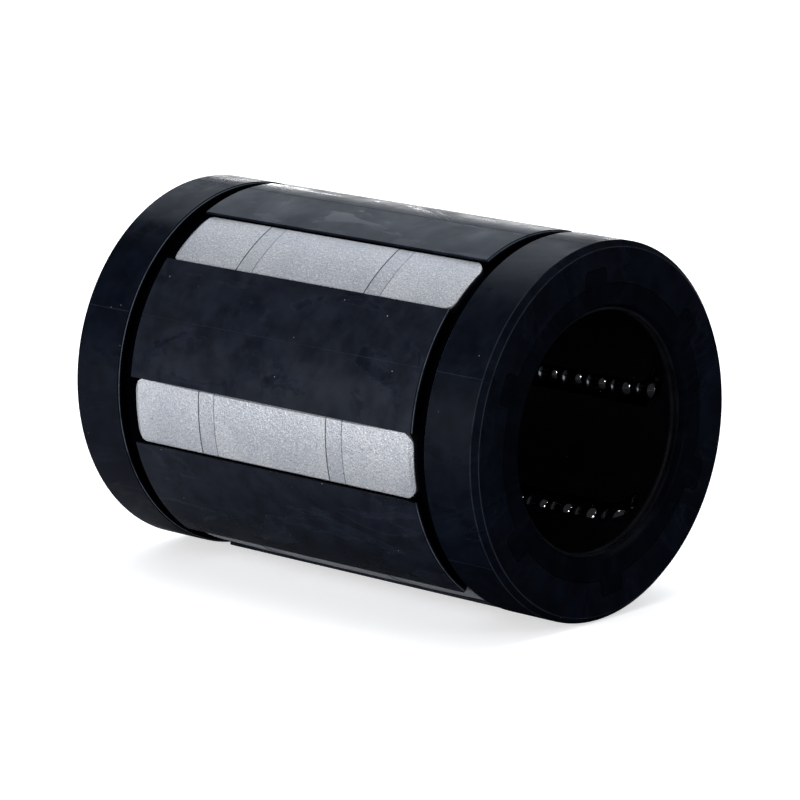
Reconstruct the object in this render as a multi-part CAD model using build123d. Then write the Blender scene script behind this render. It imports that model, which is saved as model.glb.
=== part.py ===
from build123d import *
import math
import os

# Self-aligning linear ball bushing, closed design, for a 30 mm shaft.
# Millimetres. +X runs along the bore, +Z is up, and the origin is the middle of the bore.
# Angles around the bore are measured from +Z by the right-hand rule about +X.

# ---- Boundary dimensions -------------------------------------------------
SHAFT_D = 30.0                  # shaft the bushing runs on
OUTER_D = 47.0                  # housing bore
LENGTH = 68.0
GROOVE_SPAN = 51.7              # over the outer walls of the two retaining-ring grooves
GROOVE_WIDTH = 2.05
GROOVE_FLOOR_D = 44.5
SECTOR_COUNT = 6
SECTOR_STEP = 360.0 / SECTOR_COUNT
FIRST_PLATE_ANGLE = 35.0        # middle of plate 1

# ---- Balls and their track -----------------------------------------------
BALL_D = 3.969                  # 5/32 inch
BALL_GAP = 0.016                # between neighbours in a full row
LOADED_BALLS = 13
RETURN_BALLS = 12
TURN_BALLS = 3
SHAFT_CLEARANCE = 0.005         # inscribed circle over the nominal shaft, radial
RETURN_ROW_RADIUS = 18.8
RETURN_ROW_ANGLE = 24.0         # from the loaded row
STRAIGHT_HALF = 26.0            # half length of the two straight rows
GROUP_SPACING = 4.20            # along the track, from one group's end ball to the next group's
LOADED_CHANNEL_R = 2.30         # wide enough for the row to tilt with its plate
LOADED_MOUTH = 2.0              # how far that width runs on into each turn
FREE_CHANNEL_R = 2.12           # turns and return row
ROW_PHASES = (0.9, -1.1, 0.4, -0.35, -0.66, 1.3)   # where each train of balls stands, along its track

# ---- Steel plates ----------------------------------------------------------
PLATE_LENGTH = 47.0
PLATE_WIDTH = 8.25
PLATE_TOP_R = 23.06
PLATE_FLAT_R = 18.35            # inner flats beside the raceway
PLATE_CORNER_R = 1.7
PLATE_END_BEVEL = 0.6           # along the plate
PLATE_BEVEL_DROP = 0.28
PLATE_RELIEF = 0.14             # fall of the top towards the ends, which lets the plate rock
BAND_CENTRE = 10.8
BAND_WIDTH = 2.65
BAND_DEPTH = 0.04
RACEWAY_R = 2.06
RACEWAY_CLEARANCE = 0.03
PLATE_SIDE_CHAMFER = 0.20         # across the plate, on its long upper edges
PLATE_SIDE_SLOPE = 1.25           # fall over width of that chamfer

# ---- Plastic pieces --------------------------------------------------------
CAGE_BORE_R = 15.40
CAGE_OUTER_R = 21.40
CAGE_HALF = 32.40
CAGE_END_RECESS_R = 16.00       # room for the wiper's inner collar
CAGE_END_RECESS_X = 31.80
CAGE_WINDOW_FLOOR_R = 18.05
FIXED_GAP = 0.05                # between fixed pieces that are assembled into each other
SIDE_GAP = 0.18                 # between a plate and the window around it
END_GAP = 0.30
SPIGOT_END = 27.5               # sleeve under the end rings
EDGE_BREAK = 0.18
FACE_CHAMFER = 0.75
INSERT_R = 18.4                 # round part of the seal holder
INSERT_GAP = 0.08
LUG_R = 20.45
LUG_WIDTH = 3.9
LUG_CORNER_R = 0.7
INSERT_DEPTH = 0.85
INSERT_MOUTH_R = 15.85
INSERT_THROAT_R = 15.35
LIP_R = 15.02
LIP_RELIEF_R = 15.35
LIP_WIDTH = 0.3
COLLAR_R = 15.90
COLLAR_X = 31.87
WIPER_R = 18.30
MARK_D = 2.2                    # ejector mark
MARK_R = 16.95
MARK_DEPTH = 0.06

outer_r = OUTER_D / 2
half = LENGTH / 2
groove_floor_r = GROOVE_FLOOR_D / 2
groove_outer_x = GROOVE_SPAN / 2
groove_inner_x = groove_outer_x - GROOVE_WIDTH
sleeve_bore_r = CAGE_OUTER_R + FIXED_GAP
flange_x = CAGE_HALF + FIXED_GAP
insert_x = half - INSERT_DEPTH
ball_r = BALL_D / 2
ball_pitch = BALL_D + BALL_GAP
plate_angles = [FIRST_PLATE_ANGLE + SECTOR_STEP * k for k in range(SECTOR_COUNT)]
rib_angles = [angle + SECTOR_STEP / 2 for angle in plate_angles]

# The two straight rows of one circuit, and the half turns that join them
loaded_row_r = SHAFT_D / 2 + SHAFT_CLEARANCE + ball_r
loaded_centre = Vector(0, 0, loaded_row_r)
return_centre = Vector(0, 0, RETURN_ROW_RADIUS).rotate(Axis.X, RETURN_ROW_ANGLE)
turn_middle = (loaded_centre + return_centre) * 0.5
turn_r = (return_centre - loaded_centre).length / 2
across = (return_centre - loaded_centre).normalized()
turn_axis = Vector(1, 0, 0).cross(across)
turn_length = math.pi * turn_r
track_length = 4 * STRAIGHT_HALF + 2 * turn_length
turn_pitch = 2 * turn_r * math.asin(ball_pitch / (2 * turn_r))


def about_bore(shape, angle):
    """Turn a shape about the bore axis."""
    return Rot(angle, 0, 0) * shape


def turned(points):
    """A ring turned about the bore axis from its (x, radius) outline."""
    return revolve(make_face(Plane.XZ * Polyline(*points, close=True)), Axis.X)


def rod(x_half, radius, centre):
    """A round rod parallel to the bore."""
    return Pos(centre.X, centre.Y, centre.Z) * Rot(0, 90, 0) * Cylinder(radius, 2 * x_half)


def both_ends(shape):
    """The shape and its mirror image at the other end of the bushing."""
    return [shape, mirror(shape, Plane.YZ)]


def track_point(distance):
    """A point on one circuit's centre line, at a distance along it from the loaded row's middle."""
    along = distance % track_length
    if along > track_length - STRAIGHT_HALF:
        along -= track_length
    if along <= STRAIGHT_HALF:
        return loaded_centre + Vector(along, 0, 0)
    along -= STRAIGHT_HALF
    if along <= turn_length:
        swing = along / turn_r
        return turn_middle - across * (turn_r * math.cos(swing)) \
            + Vector(STRAIGHT_HALF + turn_r * math.sin(swing), 0, 0)
    along -= turn_length
    if along <= 2 * STRAIGHT_HALF:
        return return_centre + Vector(STRAIGHT_HALF - along, 0, 0)
    swing = (along - 2 * STRAIGHT_HALF) / turn_r
    return turn_middle + across * (turn_r * math.cos(swing)) \
        - Vector(STRAIGHT_HALF + turn_r * math.sin(swing), 0, 0)


def ball_group(distances, angle):
    """Separate balls at the given distances along the circuit of one plate."""
    points = [track_point(distance) for distance in distances]
    balls = [about_bore(Pos(point.X, point.Y, point.Z) * Sphere(ball_r), angle) for point in points]
    return Compound(children=balls)


def half_turn_channel(radius):
    """The front half turn of the ball channel."""
    section = Plane(origin=loaded_centre + Vector(STRAIGHT_HALF, 0, 0), z_dir=(1, 0, 0)) * Circle(radius)
    pivot = Axis(origin=turn_middle + Vector(STRAIGHT_HALF, 0, 0), direction=turn_axis)
    return revolve(section, pivot, 180)


def circuit_channel():
    """Everything that one circuit and its plate take out of the cage."""
    window_height = outer_r - CAGE_WINDOW_FLOOR_R
    window = Pos(0, 0, CAGE_WINDOW_FLOOR_R) * Box(
        2 * groove_inner_x, PLATE_WIDTH + 2 * SIDE_GAP, window_height,
        align=(Align.CENTER, Align.CENTER, Align.MIN))
    loaded = rod(STRAIGHT_HALF + LOADED_MOUTH, LOADED_CHANNEL_R, loaded_centre)
    returning = rod(STRAIGHT_HALF, FREE_CHANNEL_R, return_centre)
    return [window, loaded, returning] + both_ends(half_turn_channel(FREE_CHANNEL_R))


def ball_cage():
    body = turned([
        (-CAGE_HALF, CAGE_END_RECESS_R), (-CAGE_HALF, CAGE_OUTER_R), (CAGE_HALF, CAGE_OUTER_R),
        (CAGE_HALF, CAGE_END_RECESS_R), (CAGE_END_RECESS_X, CAGE_END_RECESS_R),
        (CAGE_END_RECESS_X, CAGE_BORE_R), (-CAGE_END_RECESS_X, CAGE_BORE_R),
        (-CAGE_END_RECESS_X, CAGE_END_RECESS_R)])
    cuts = circuit_channel()
    for _ in range(SECTOR_COUNT):
        for cut in cuts:
            body -= cut
        body = about_bore(body, SECTOR_STEP)
    return about_bore(body, FIRST_PLATE_ANGLE)


def outer_sleeve():
    """Six ribs between the plates, on the two narrow rings that are the floors of the grooves."""
    top = outer_r - EDGE_BREAK
    edge = groove_inner_x - EDGE_BREAK
    body = turned([
        (-SPIGOT_END, sleeve_bore_r), (-SPIGOT_END, groove_floor_r), (-groove_inner_x, groove_floor_r),
        (-groove_inner_x, top), (-edge, outer_r), (edge, outer_r), (groove_inner_x, top),
        (groove_inner_x, groove_floor_r), (SPIGOT_END, groove_floor_r), (SPIGOT_END, sleeve_bore_r)])
    window = Pos(0, 0, PLATE_FLAT_R) * Box(
        2 * groove_inner_x, PLATE_WIDTH + 2 * SIDE_GAP, outer_r,
        align=(Align.CENTER, Align.CENTER, Align.MIN))
    return body - [about_bore(window, angle) for angle in plate_angles]


def lugged_disc(radius, lug_reach, lug_width, x_start, x_end):
    """A disc with six lugs in line with the ribs."""
    disc = Circle(radius)
    lug = Pos(0, lug_reach / 2) * RectangleRounded(lug_width, lug_reach, LUG_CORNER_R)
    for angle in rib_angles:
        disc += Rot(0, 0, angle) * lug
    return extrude(Plane.YZ.offset(x_start) * disc, x_end - x_start)


def end_ring():
    """The front end ring: it covers the end of the cage and is the outer wall of the groove."""
    counterbore_r = groove_floor_r + FIXED_GAP
    counterbore_x = SPIGOT_END + FIXED_GAP
    body = turned([
        (groove_outer_x, counterbore_r), (groove_outer_x, outer_r - EDGE_BREAK),
        (groove_outer_x + EDGE_BREAK, outer_r), (half - FACE_CHAMFER, outer_r),
        (half, outer_r - FACE_CHAMFER), (half, INSERT_R), (flange_x, INSERT_R),
        (flange_x, sleeve_bore_r), (counterbore_x, sleeve_bore_r), (counterbore_x, counterbore_r)])
    return body - lugged_disc(INSERT_R, LUG_R, LUG_WIDTH, insert_x, half + 1)


def seal_holder():
    """The front seal holder: a thin disc whose six lugs key it into the end ring."""
    gap = INSERT_GAP
    body = lugged_disc(INSERT_R - gap, LUG_R - gap, LUG_WIDTH - 2 * gap, insert_x + gap, half)
    mouth = turned([
        (insert_x, 0), (insert_x, INSERT_THROAT_R), (insert_x + gap, INSERT_THROAT_R),
        (half - EDGE_BREAK, INSERT_MOUTH_R - EDGE_BREAK), (half, INSERT_MOUTH_R),
        (half + gap, INSERT_MOUTH_R + gap), (half + gap, 0)])
    mark_centre = Vector(half, 0, MARK_R)
    mark = Pos(mark_centre.X, 0, mark_centre.Z) * Rot(0, 90, 0) * Cylinder(MARK_D / 2, 2 * MARK_DEPTH)
    return body - mouth - about_bore(mark, plate_angles[4])


def wiper_seal():
    """The front wiper: two lips on the shaft, with a groove between them."""
    front_x = insert_x
    back_x = flange_x + FIXED_GAP
    slope = LIP_RELIEF_R - LIP_R
    return turned([
        (back_x, COLLAR_R), (back_x, WIPER_R), (front_x, WIPER_R), (front_x, LIP_R),
        (front_x - LIP_WIDTH, LIP_R), (front_x - LIP_WIDTH - slope, LIP_RELIEF_R),
        (COLLAR_X + LIP_WIDTH + slope, LIP_RELIEF_R), (COLLAR_X + LIP_WIDTH, LIP_R),
        (COLLAR_X, LIP_R), (COLLAR_X, COLLAR_R)])


def plate_section():
    """A bar with the plate's width whose two upper corners are broken at about 50 degrees."""
    side = PLATE_WIDTH / 2
    inner = side - PLATE_SIDE_CHAMFER
    inner_z = math.sqrt(PLATE_TOP_R ** 2 - inner ** 2)
    side_z = inner_z - PLATE_SIDE_SLOPE * PLATE_SIDE_CHAMFER
    top_z = outer_r
    top_y = inner - (top_z - inner_z) / PLATE_SIDE_SLOPE
    right = [(side, 0), (side, side_z), (top_y, top_z)]
    outline = right + [(-y, z) for y, z in reversed(right)]
    section = make_face(Plane.YZ * Polyline(*outline, close=True))
    return extrude(section, PLATE_LENGTH, both=True)


def load_plate():
    """One steel plate: raceway inside, gently crowned outside with two shallow bands."""
    end_x = PLATE_LENGTH / 2
    bevel_x = end_x - PLATE_END_BEVEL
    band_out = BAND_CENTRE + BAND_WIDTH / 2
    band_in = BAND_CENTRE - BAND_WIDTH / 2
    band_r = PLATE_TOP_R - BAND_DEPTH
    shoulder_r = PLATE_TOP_R - PLATE_RELIEF
    top_half = [
        (band_in, PLATE_TOP_R), (band_in, band_r), (band_out, band_r), (band_out, PLATE_TOP_R),
        (bevel_x, shoulder_r), (end_x, shoulder_r - PLATE_BEVEL_DROP), (end_x, 0)]
    outline = top_half + [(-x, r) for x, r in reversed(top_half)]
    blank = extrude(Plane.XY.offset(PLATE_FLAT_R) * RectangleRounded(
        PLATE_LENGTH, PLATE_WIDTH, PLATE_CORNER_R), outer_r - PLATE_FLAT_R)
    blank &= turned(outline)
    blank &= plate_section()
    raceway_z = loaded_row_r + ball_r + RACEWAY_CLEARANCE - RACEWAY_R
    return blank - rod(PLATE_LENGTH, RACEWAY_R, Vector(0, 0, raceway_z))


def save(shape, name):
    shape.label = name
    export_step(shape, f"parts/{name}.step")


def build_sectors():
    """The six plates, each with the balls of its circuit in the four groups that move together."""
    loaded = [ball_pitch * (i - (LOADED_BALLS - 1) / 2) for i in range(LOADED_BALLS)]
    turn = [loaded[-1] + GROUP_SPACING + turn_pitch * i for i in range(TURN_BALLS)]
    back_start = turn[-1] + GROUP_SPACING
    back_step = (track_length - 2 * back_start) / (RETURN_BALLS - 1)
    back = [back_start + back_step * i for i in range(RETURN_BALLS)]
    groups = {
        "loaded_balls": loaded, "return_balls": back,
        "front_turn_balls": turn, "rear_turn_balls": [-distance for distance in turn]}
    plate = load_plate()
    for number, (angle, phase) in enumerate(zip(plate_angles, ROW_PHASES), start=1):
        save(about_bore(plate, angle), f"load_plate_{number}")
        for name, distances in groups.items():
            save(ball_group([distance + phase for distance in distances], angle), f"{name}_{number}")


os.makedirs("parts", exist_ok=True)
save(ball_cage(), "ball_cage")
save(outer_sleeve(), "outer_sleeve")
for name, maker in (("end_ring", end_ring), ("seal_holder", seal_holder), ("wiper_seal", wiper_seal)):
    front, rear = both_ends(maker())
    save(front, f"front_{name}")
    save(rear, f"rear_{name}")
build_sectors()
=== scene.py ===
import math

import bmesh
import bpy
from mathutils import Matrix, Vector


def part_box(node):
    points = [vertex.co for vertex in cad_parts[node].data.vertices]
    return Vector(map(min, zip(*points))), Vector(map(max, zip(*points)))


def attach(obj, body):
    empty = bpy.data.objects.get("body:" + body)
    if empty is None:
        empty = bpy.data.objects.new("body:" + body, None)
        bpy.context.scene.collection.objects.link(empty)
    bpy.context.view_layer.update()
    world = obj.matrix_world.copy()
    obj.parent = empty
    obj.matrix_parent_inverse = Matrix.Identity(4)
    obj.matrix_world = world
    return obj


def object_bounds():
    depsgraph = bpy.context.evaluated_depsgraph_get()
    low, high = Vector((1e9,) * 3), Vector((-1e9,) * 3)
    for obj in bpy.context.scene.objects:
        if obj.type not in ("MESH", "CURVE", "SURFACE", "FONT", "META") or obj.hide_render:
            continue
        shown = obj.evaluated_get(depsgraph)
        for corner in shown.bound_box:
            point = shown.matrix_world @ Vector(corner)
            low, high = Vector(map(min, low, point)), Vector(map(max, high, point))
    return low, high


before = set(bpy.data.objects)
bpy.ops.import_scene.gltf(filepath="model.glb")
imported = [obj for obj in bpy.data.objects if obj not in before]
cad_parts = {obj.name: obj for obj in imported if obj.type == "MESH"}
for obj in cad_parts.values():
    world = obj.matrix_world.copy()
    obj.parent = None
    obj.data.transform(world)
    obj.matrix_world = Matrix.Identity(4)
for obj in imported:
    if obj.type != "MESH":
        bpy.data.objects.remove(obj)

cad_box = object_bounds()
MM = 0.001
FIXED_BODY = "sleeve_body"

# ---- Sizes read from the frame ----------------------------------------------
half_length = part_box("front_end_ring")[1][0]
outer_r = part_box("front_end_ring")[1][2]
groove_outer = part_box("front_end_ring")[0][0]
floor_z = cad_box[0][2]

# ---- Sizes of the same features as in the CAD -------------------------------
RIB_COUNT = 6
FIRST_RIB_ANGLE = math.radians(5.0)
SECTOR = 2.0 * math.pi / RIB_COUNT
GROOVE_WIDTH = 2.05 * MM
BAND_CENTRE = 10.8 * MM
BAND_HALF = 1.325 * MM
FACE_CHAMFER = 0.75 * MM
EDGE_BREAK = 0.18 * MM
groove_inner = groove_outer - GROOVE_WIDTH

# ---- Sizes of what is only drawn or added here ------------------------------
EDGE_LINE = 0.09 * MM
BAND_LINE = 0.11 * MM
BAND_BLUR = 0.06 * MM
# How strong the painted edge highlight is on the face chamfer's edges
RIM_HIGHLIGHT_SHARE = 0.12
FLASH_WIDTH = 0.07 * MM
FLASH_HEIGHT = 0.015 * MM
FLASH_ROOT = 0.02 * MM
FLASH_WANDER = 0.02 * MM
FLASH_STEPS = 24

# ---- Stage ------------------------------------------------------------------
FLOOR_SIZE = 8.0
SKY_TINT = (0.94, 0.97, 1.0, 1.0)
SKY_IN_MIRRORS, SKY_ELSEWHERE = 0.05, 0.60
FLOOR_TINT = (0.88, 0.88, 0.89, 1.0)
MIRRORED_REAR, MIRRORED_FRONT = (0.50, 0.52, 0.56, 1.0), (0.02, 0.02, 0.022, 1.0)
MIRRORED_FAR = (0.20, 0.21, 0.23, 1.0)
FLOOR_LIFT = 0.50
WHITE, COOL = (1.0, 1.0, 1.0), (0.80, 0.88, 1.0)
CAMERA_AZIMUTH, CAMERA_ELEVATION = math.radians(42.5), math.radians(12.65)
CAMERA_DISTANCE, CAMERA_SHIFT, CAMERA_RISE = 0.6071, 0.44 * MM, -1.01 * MM
CAMERA_SENSOR, CAMERA_LENS, CAMERA_NEAR = 36.0, 217.7, 0.01

# ---- Colours ----------------------------------------------------------------
SLEEVE_BLACK = (0.0050, 0.0064, 0.0108)
RING_BLACK = (0.0016, 0.0025, 0.0054)
HOLDER_BLACK = (0.0009, 0.0014, 0.0034)
CAGE_BLACK = (0.0014, 0.0016, 0.0024)
# Colour of the painted shade down in the grooves
PAINTED_GROOVE_SHADE = (0.0003, 0.0004, 0.0008, 1.0)
OIL_FILM = (0.09, 0.11, 0.15, 1.0)
SCUFF = (0.10, 0.11, 0.14, 1.0)
DUST = (0.40, 0.42, 0.45, 1.0)
# Colour of the painted edge highlights
PAINTED_EDGE_HIGHLIGHT = (0.15, 0.17, 0.21, 1.0)
OIL_SHEEN = (0.78, 0.86, 1.0, 1.0)
STEEL_BLUE, STEEL_GREY = (0.38, 0.395, 0.43, 1.0), (0.44, 0.45, 0.475, 1.0)
STEEL_DARK_GRAIN, STEEL_BRIGHT_GRAIN = (0.15, 0.165, 0.20, 1.0), (0.80, 0.81, 0.84, 1.0)
STEEL_BAND = (0.28, 0.305, 0.345, 1.0)
STEEL_PIT = (0.05, 0.05, 0.06, 1.0)
# Colour of the painted shade on the plates' side walls
STEEL_SIDE_PAINTED_SHADE = (0.02, 0.02, 0.03, 1.0)
BALL_DARK, BALL_PALE = (0.24, 0.25, 0.27, 1.0), (0.32, 0.32, 0.34, 1.0)
RUBBER_DARK, RUBBER_PALE = (0.002, 0.0025, 0.004, 1.0), (0.005, 0.006, 0.009, 1.0)


# ---- Node helpers ------------------------------------------------------------
class Shader:
    """One material's node tree, with short ways to add the nodes used here."""

    def __init__(self, name):
        self.material = bpy.data.materials.new(name)
        self.material.use_nodes = True
        self.tree = self.material.node_tree
        self.surface = self.tree.nodes["Principled BSDF"]
        self.place = self.add("ShaderNodeTexCoord").outputs["Object"]

    def add(self, kind, inputs=(), **settings):
        node = self.tree.nodes.new(kind)
        for key, value in settings.items():
            setattr(node, key, value)
        for key, value in dict(inputs).items():
            if isinstance(value, bpy.types.NodeSocket):
                self.tree.links.new(value, node.inputs[key])
            else:
                node.inputs[key].default_value = value
        return node

    def math(self, operation, a, b=0.0, clamp=False):
        return self.add("ShaderNodeMath", {0: a, 1: b}, operation=operation, use_clamp=clamp).outputs[0]

    def noise(self, scale, detail=3.0, roughness=0.55, at=None, distortion=0.0):
        inputs = {"Vector": at or self.place, "Scale": scale, "Detail": detail,
                  "Roughness": roughness, "Distortion": distortion}
        return self.add("ShaderNodeTexNoise", inputs).outputs["Fac"]

    def cells(self, scale):
        return self.add("ShaderNodeTexVoronoi", {"Vector": self.place, "Scale": scale})

    def specks(self, scale, middle, edge, channel, rarest, rare):
        """Small round dots in a few cells only; the cell's random colour picks which."""
        cell = self.cells(scale)
        dot = self.ramp(cell.outputs["Distance"], edge, middle)
        chosen = self.add("ShaderNodeSeparateColor", {0: cell.outputs["Color"]}).outputs[channel]
        return self.math("MULTIPLY", dot, self.ramp(chosen, rarest, rare))

    def scaled(self, at, x, y, z):
        return self.add("ShaderNodeMapping", {"Vector": at, "Scale": (x, y, z)}).outputs["Vector"]

    def along(self):
        return self.add("ShaderNodeSeparateXYZ", {0: self.place}).outputs["X"]

    def tinted(self, share, strength, under, over):
        """The colour under, covered by the colour over by share times strength."""
        return self.mix(self.math("MULTIPLY", share, strength), under, over)

    def ramp(self, value, low, high, to_low=0.0, to_high=1.0):
        inputs = {"Value": value, "From Min": low, "From Max": high, "To Min": to_low, "To Max": to_high}
        return self.add("ShaderNodeMapRange", inputs, interpolation_type="SMOOTHSTEP").outputs["Result"]

    def mix(self, share, a, b):
        node = self.add("ShaderNodeMix", {0: share, 6: a, 7: b}, data_type="RGBA")
        return node.outputs[2]

    def round_the_bore(self):
        """Coordinates (along the bore, arc round it, distance from it) in metres, and that distance."""
        parts = self.add("ShaderNodeSeparateXYZ", {0: self.place}).outputs
        angle = self.math("ARCTAN2", parts["Y"], parts["Z"])
        arc = self.math("MULTIPLY", angle, outer_r)
        squares = self.math("ADD", self.math("MULTIPLY", parts["Y"], parts["Y"]),
                            self.math("MULTIPLY", parts["Z"], parts["Z"]))
        reach = self.math("SQRT", squares)
        return self.add("ShaderNodeCombineXYZ", {0: parts["X"], 1: arc, 2: reach}).outputs[0], reach

    def line(self, value, centre, half_width):
        """1 on a thin line where value is centre, and 0 away from it."""
        away = self.math("ABSOLUTE", self.math("SUBTRACT", value, centre))
        return self.ramp(away, half_width, 0.35 * half_width)

    def bump(self, height, distance, strength=1.0, before=None):
        inputs = {"Height": height, "Distance": distance, "Strength": strength}
        if before is not None:
            inputs["Normal"] = before
        return self.add("ShaderNodeBump", inputs).outputs["Normal"]

    def set(self, **sockets):
        for key, value in sockets.items():
            socket = self.surface.inputs[key.replace("_", " ")]
            if isinstance(value, bpy.types.NodeSocket):
                self.tree.links.new(value, socket)
            else:
                socket.default_value = value
        return self.material


# ---- Materials ------------------------------------------------------------------
def painted_edge_highlights(shader, along, reach):
    """Painted highlight lines on the corners of the grooves and of the outer chamfers."""
    distance = shader.math("ABSOLUTE", along)
    outside = shader.ramp(reach, outer_r - 0.24 * MM, outer_r - 0.12 * MM)
    corners = shader.line(distance, groove_inner, EDGE_LINE)
    corners = shader.math("MAXIMUM", corners, shader.line(distance, groove_outer, EDGE_LINE))
    shoulder = shader.line(distance, half_length - FACE_CHAMFER, EDGE_LINE)
    shoulder = shader.math("MULTIPLY", shoulder, RIM_HIGHLIGHT_SHARE)
    corners = shader.math("MAXIMUM", corners, shoulder)
    corners = shader.math("MULTIPLY", corners, outside)
    rim = shader.line(reach, outer_r - FACE_CHAMFER, EDGE_LINE)
    on_face = shader.ramp(distance, half_length - 0.3 * MM, half_length - 0.1 * MM)
    rim = shader.math("MULTIPLY", shader.math("MULTIPLY", rim, on_face), RIM_HIGHLIGHT_SHARE)
    broken = shader.ramp(shader.noise(260.0, 4.0, 0.7), 0.30, 0.52, 0.25, 1.0)
    return shader.math("MULTIPLY", shader.math("MAXIMUM", corners, rim), broken)


def in_the_open(shader, along, reach):
    """1 on the outer surface and on the end faces, 0 down in the two grooves, where shade is painted."""
    outside = shader.ramp(reach, outer_r - 0.55 * MM, outer_r - 0.25 * MM)
    distance = shader.math("ABSOLUTE", along)
    end = shader.ramp(distance, half_length - 1.6 * MM, half_length - 1.2 * MM)
    return shader.math("MAXIMUM", outside, end)


def moulded_plastic(name, tint, gloss, specular, wear=1.0, paint_edge_light_and_groove_shade=True):
    """Blue-black moulded acetal: oily smudges, fine moulded grain, dust and handling scuffs; optionally
    painted highlight lines on the groove and chamfer corners and painted shade down in the grooves.
    """
    shader = Shader(name)
    wrapped, reach = shader.round_the_bore()
    along = shader.along()
    smudge = shader.noise(90.0, 5.0, 0.62, distortion=0.6)
    film = shader.noise(340.0, 4.0, 0.6)
    oil = shader.noise(1.0, 6.0, 0.60, at=shader.scaled(wrapped, 55.0, 130.0, 60.0), distortion=1.2)
    wet = shader.ramp(oil, 0.535, 0.575)
    oil_rim = shader.math("MULTIPLY", wet, shader.ramp(oil, 0.60, 0.57))
    streak = shader.noise(1.0, 3.0, 0.6, at=shader.scaled(wrapped, 260.0, 2600.0, 900.0))
    scuff = shader.ramp(streak, 0.68, 0.80)
    scuff = shader.math("MULTIPLY", scuff, shader.ramp(smudge, 0.50, 0.66))
    dust = shader.specks(1300.0, 0.05, 0.12, 0, 0.965, 0.98)
    deep = tuple(0.7 * c for c in tint) + (1.0,)
    pale = tuple(1.35 * c for c in tint) + (1.0,)
    colour = shader.mix(shader.ramp(film, 0.3, 0.7), deep, pale)
    colour = shader.tinted(oil_rim, 0.035 * wear, colour, OIL_FILM)
    colour = shader.tinted(scuff, 0.22 * wear, colour, SCUFF)
    colour = shader.tinted(dust, 0.8 * wear, colour, DUST)
    rough = shader.ramp(smudge, 0.35, 0.66, gloss, gloss + 0.15)
    rough = shader.math("ADD", rough, shader.ramp(film, 0.3, 0.75, -0.03, 0.05))
    rough = shader.math("SUBTRACT", rough, shader.math("MULTIPLY", wet, 0.62 * gloss * wear))
    rough = shader.math("ADD", rough, shader.math("MULTIPLY", scuff, 0.15), clamp=True)
    if paint_edge_light_and_groove_shade:
        # Painted highlights: lighter lines on the groove and chamfer edges
        colour = shader.tinted(painted_edge_highlights(shader, along, reach), 0.6, colour, PAINTED_EDGE_HIGHLIGHT)
        # Painted shade: the grooves are painted near black and lose their reflection
        lit = in_the_open(shader, along, reach)
        colour = shader.mix(lit, PAINTED_GROOVE_SHADE, colour)
        specular = shader.math("MULTIPLY", lit, specular)
    grain = shader.noise(7000.0, 2.0)
    normal = shader.bump(shader.noise(150.0, 2.0), 0.06 * MM, 0.45)
    normal = shader.bump(grain, 0.004 * MM, 0.45, normal)
    normal = shader.bump(scuff, 0.010 * MM, 0.4, normal)
    return shader.set(Base_Color=colour, Roughness=rough, Normal=normal, Specular_IOR_Level=specular,
                      Specular_Tint=OIL_SHEEN)


def blasted_steel():
    """Hardened plates: an even satin speckle, two smoother bands, faint pits and blue-grey clouds; side walls
    below the top painted dark as shade.
    """
    shader = Shader("tumbled_plate_steel")
    reach = shader.round_the_bore()[1]
    distance = shader.math("ABSOLUTE", shader.along())
    from_band = shader.math("ABSOLUTE", shader.math("SUBTRACT", distance, BAND_CENTRE))
    band = shader.ramp(from_band, BAND_HALF + BAND_BLUR, BAND_HALF - BAND_BLUR)
    line = shader.line(from_band, BAND_HALF, BAND_LINE)
    cloud = shader.noise(120.0, 4.0, 0.6)
    grain = shader.noise(5200.0, 2.0, 0.6)
    coarse = shader.noise(2900.0, 3.0, 0.7)
    pit = shader.specks(800.0, 0.05, 0.14, 1, 0.93, 0.96)
    # Painted shade: the plates' side walls below the top are painted near black
    painted_side_shade = shader.ramp(reach, outer_r - 0.9 * MM, outer_r - 1.1 * MM)
    colour = shader.mix(shader.ramp(cloud, 0.3, 0.7), STEEL_BLUE, STEEL_GREY)
    colour = shader.mix(shader.ramp(grain, 0.46, 0.66, 0.0, 0.55), colour, STEEL_DARK_GRAIN)
    colour = shader.mix(shader.ramp(coarse, 0.54, 0.70, 0.0, 0.38), colour, STEEL_BRIGHT_GRAIN)
    colour = shader.tinted(band, 0.26, colour, STEEL_BAND)
    colour = shader.tinted(line, 0.85, colour, STEEL_PIT)
    colour = shader.tinted(pit, 0.8, colour, STEEL_PIT)
    colour = shader.mix(painted_side_shade, colour, STEEL_SIDE_PAINTED_SHADE)
    rough = shader.ramp(cloud, 0.3, 0.7, 0.38, 0.46)
    rough = shader.math("SUBTRACT", rough, shader.math("MULTIPLY", band, 0.06))
    normal = shader.bump(grain, 0.036 * MM, 0.9)
    normal = shader.bump(coarse, 0.085 * MM, 0.9, normal)
    normal = shader.bump(shader.math("MULTIPLY", pit, -1.0), 0.03 * MM, 0.7, normal)
    return shader.set(Base_Color=colour, Roughness=rough, Normal=normal, Metallic=0.5, Specular_IOR_Level=0.4)


def polished_balls():
    """Ground and polished bearing balls with a thin film of oil."""
    shader = Shader("polished_ball_steel")
    film = shader.noise(420.0, 3.0)
    colour = shader.mix(shader.ramp(film, 0.35, 0.7), BALL_DARK, BALL_PALE)
    rough = shader.ramp(film, 0.3, 0.7, 0.05, 0.11)
    normal = shader.bump(shader.noise(2600.0, 2.0), 0.0015 * MM, 0.3)
    return shader.set(Base_Color=colour, Roughness=rough, Normal=normal, Metallic=1.0)


def wiper_rubber():
    """Nitrile rubber: soft black with a greasy, uneven sheen."""
    shader = Shader("wiper_nitrile")
    grease = shader.noise(260.0, 4.0, 0.6)
    colour = shader.mix(shader.ramp(grease, 0.3, 0.7), RUBBER_DARK, RUBBER_PALE)
    rough = shader.ramp(grease, 0.35, 0.7, 0.24, 0.46)
    normal = shader.bump(shader.noise(3800.0, 2.0), 0.006 * MM, 0.4)
    return shader.set(Base_Color=colour, Roughness=rough, Normal=normal, Specular_IOR_Level=0.2)


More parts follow.
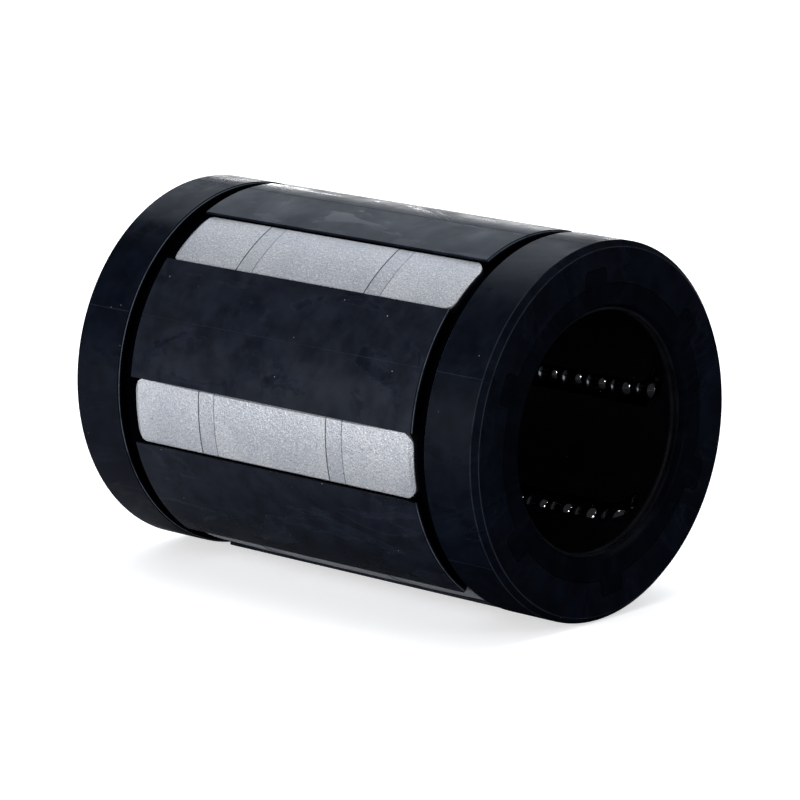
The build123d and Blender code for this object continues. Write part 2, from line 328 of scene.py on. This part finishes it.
def paint_nodes():
    """Each CAD node's own finish, in place of its plain one; gives the sleeve's finish back."""
    sleeve = moulded_plastic("sleeve_acetal", SLEEVE_BLACK, 0.27, 0.12)
    ring = moulded_plastic("ring_acetal", RING_BLACK, 0.29, 0.06, wear=0.4)
    face = moulded_plastic("holder_acetal", HOLDER_BLACK, 0.34, 0.05, wear=0.3, paint_edge_light_and_groove_shade=False)
    cage = moulded_plastic("cage_acetal", CAGE_BLACK, 0.38, 0.08, wear=0.3, paint_edge_light_and_groove_shade=False)
    steel, balls, rubber = blasted_steel(), polished_balls(), wiper_rubber()
    for name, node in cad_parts.items():
        if "balls" in name:
            finish = balls
        elif name.startswith("load_plate"):
            finish = steel
        elif "wiper" in name:
            finish = rubber
        elif "holder" in name:
            finish = face
        elif name == "ball_cage":
            finish = cage
        elif "end_ring" in name:
            finish = ring
        else:
            finish = sleeve
        for material_slot in node.material_slots:
            material_slot.material = finish
    return sleeve


# ---- Pieces made here --------------------------------------------------------------
def parting_flash(finish):
    """The fine mould line that runs along each rib and over both end rings."""
    mesh = bmesh.new()
    low_r, top_r, crest = outer_r - FLASH_ROOT, outer_r + FLASH_HEIGHT, 0.25 * FLASH_WIDTH
    section = ((low_r, -FLASH_WIDTH), (top_r, -crest), (top_r, crest), (low_r, FLASH_WIDTH))
    spans = [(-half_length + FACE_CHAMFER, -groove_outer - EDGE_BREAK), (-groove_inner + EDGE_BREAK, 0.0)]
    spans += [(-high, -low) for low, high in spans]
    for turn in range(RIB_COUNT):
        angle = FIRST_RIB_ANGLE + turn * SECTOR
        out = Vector((0.0, -math.sin(angle), math.cos(angle)))
        side = Vector((0.0, math.cos(angle), math.sin(angle)))
        for low, high in spans:
            rows = []
            for i in range(FLASH_STEPS + 1):
                x = low + (high - low) * i / FLASH_STEPS
                wander = FLASH_WANDER * math.sin(9.0 * i + 2.0 * turn)
                base = Vector((x, 0.0, 0.0)) + side * wander
                rows.append([mesh.verts.new(base + out * r + side * w) for r, w in section])
            for first, second in zip(rows, rows[1:]):
                for i in range(len(section)):
                    j = (i + 1) % len(section)
                    mesh.faces.new((first[i], second[i], second[j], first[j]))
            mesh.faces.new(rows[0])
            mesh.faces.new(list(reversed(rows[-1])))
    bmesh.ops.recalc_face_normals(mesh, faces=mesh.faces)
    data = bpy.data.meshes.new("parting_flash")
    mesh.to_mesh(data)
    mesh.free()
    piece = bpy.data.objects.new("parting_flash", data)
    bpy.context.scene.collection.objects.link(piece)
    data.materials.append(finish)
    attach(piece, FIXED_BODY)


# ---- Stage -------------------------------------------------------------------------
def light(name, place, width, height, watts, colour=WHITE):
    """A rectangular softbox that faces the middle of the bushing."""
    data = bpy.data.lights.new(name, "AREA")
    data.shape = "RECTANGLE"
    data.size, data.size_y, data.energy, data.color = width, height, watts, colour
    lamp = bpy.data.objects.new(name, data)
    bpy.context.scene.collection.objects.link(lamp)
    lamp.location = place
    lamp.rotation_euler = (-Vector(place)).to_track_quat("-Z", "Y").to_euler()


def build_floor():
    """A white floor that the black plastic mirrors as dark grey, lightest behind the rear end."""
    bpy.ops.mesh.primitive_plane_add(size=FLOOR_SIZE, location=(0.0, 0.0, floor_z))
    floor = bpy.context.object
    floor.name = "studio_floor"
    shader = Shader("studio_floor")
    path = shader.add("ShaderNodeLightPath").outputs
    spread = shader.add("ShaderNodeVectorMath", {0: shader.place}, operation="LENGTH").outputs["Value"]
    in_front = shader.ramp(shader.along(), -0.10, 0.04)
    near = shader.mix(in_front, MIRRORED_REAR, MIRRORED_FRONT)
    mirrored = shader.mix(shader.ramp(spread, 0.25, 0.8), near, MIRRORED_FAR)
    shade = shader.mix(path["Is Glossy Ray"], FLOOR_TINT, mirrored)
    lift = shader.math("MULTIPLY", path["Is Camera Ray"], FLOOR_LIFT)
    shader.set(Base_Color=shade, Roughness=0.8, Specular_IOR_Level=0.05,
               Emission_Color=(1.0, 1.0, 1.0, 1.0), Emission_Strength=lift)
    floor.data.materials.append(shader.material)


def build_lights():
    """A pale sky, dim in mirror reflections, with softboxes above, in front, behind and at the bore."""
    world = bpy.data.worlds.new("studio")
    world.use_nodes = True
    tree = world.node_tree
    sky = tree.nodes["Background"]
    sky.inputs["Color"].default_value = SKY_TINT
    path = tree.nodes.new("ShaderNodeLightPath")
    seen = tree.nodes.new("ShaderNodeMath")
    seen.operation = "MAXIMUM"
    level = tree.nodes.new("ShaderNodeMapRange")
    level.inputs["To Min"].default_value = SKY_IN_MIRRORS
    level.inputs["To Max"].default_value = SKY_ELSEWHERE
    tree.links.new(path.outputs["Is Diffuse Ray"], seen.inputs[0])
    tree.links.new(path.outputs["Is Camera Ray"], seen.inputs[1])
    tree.links.new(seen.outputs["Value"], level.inputs["Value"])
    tree.links.new(level.outputs["Result"], sky.inputs["Strength"])
    bpy.context.scene.world = world
    light("overhead_softbox", (-0.05, 0.12, 0.66), 0.60, 0.40, 2.2)
    light("front_softbox", (-0.15, -0.62, 0.10), 0.30, 0.20, 3.3)
    light("back_softbox", (-0.51, 0.34, 0.48), 0.48, 0.42, 1.1, COOL)
    light("horizon_softbox", (-0.46, 0.50, 0.15), 0.50, 0.16, 0.13, COOL)
    light("horizon_strip", (-0.46, 0.52, 0.065), 0.40, 0.035, 0.40)
    light("end_softbox", (0.62, 0.10, 0.30), 0.07, 0.12, 0.26)
    light("bore_softbox", (0.62, -0.20, 0.12), 0.05, 0.08, 0.40)
    bpy.context.scene.view_settings.view_transform = "Standard"


def build_camera():
    """The viewing angle, distance and lens; the aim is a little off the middle of the bore."""
    right = Vector((math.cos(CAMERA_AZIMUTH), math.sin(CAMERA_AZIMUTH), 0.0))
    level = Vector((math.sin(CAMERA_AZIMUTH), -math.cos(CAMERA_AZIMUTH), 0.0))
    back = math.cos(CAMERA_ELEVATION) * level + Vector((0.0, 0.0, math.sin(CAMERA_ELEVATION)))
    up = back.cross(right)
    data = bpy.data.cameras.new("camera")
    data.sensor_width, data.lens, data.clip_start = CAMERA_SENSOR, CAMERA_LENS, CAMERA_NEAR
    camera = bpy.data.objects.new("camera", data)
    bpy.context.scene.collection.objects.link(camera)
    place = CAMERA_DISTANCE * back + CAMERA_SHIFT * right + CAMERA_RISE * up
    turn = Matrix((right, up, back)).transposed().to_4x4()
    camera.matrix_world = Matrix.Translation(place) @ turn
    bpy.context.scene.camera = camera


build_camera()
build_floor()
build_lights()
sleeve_finish = paint_nodes()
parting_flash(sleeve_finish)
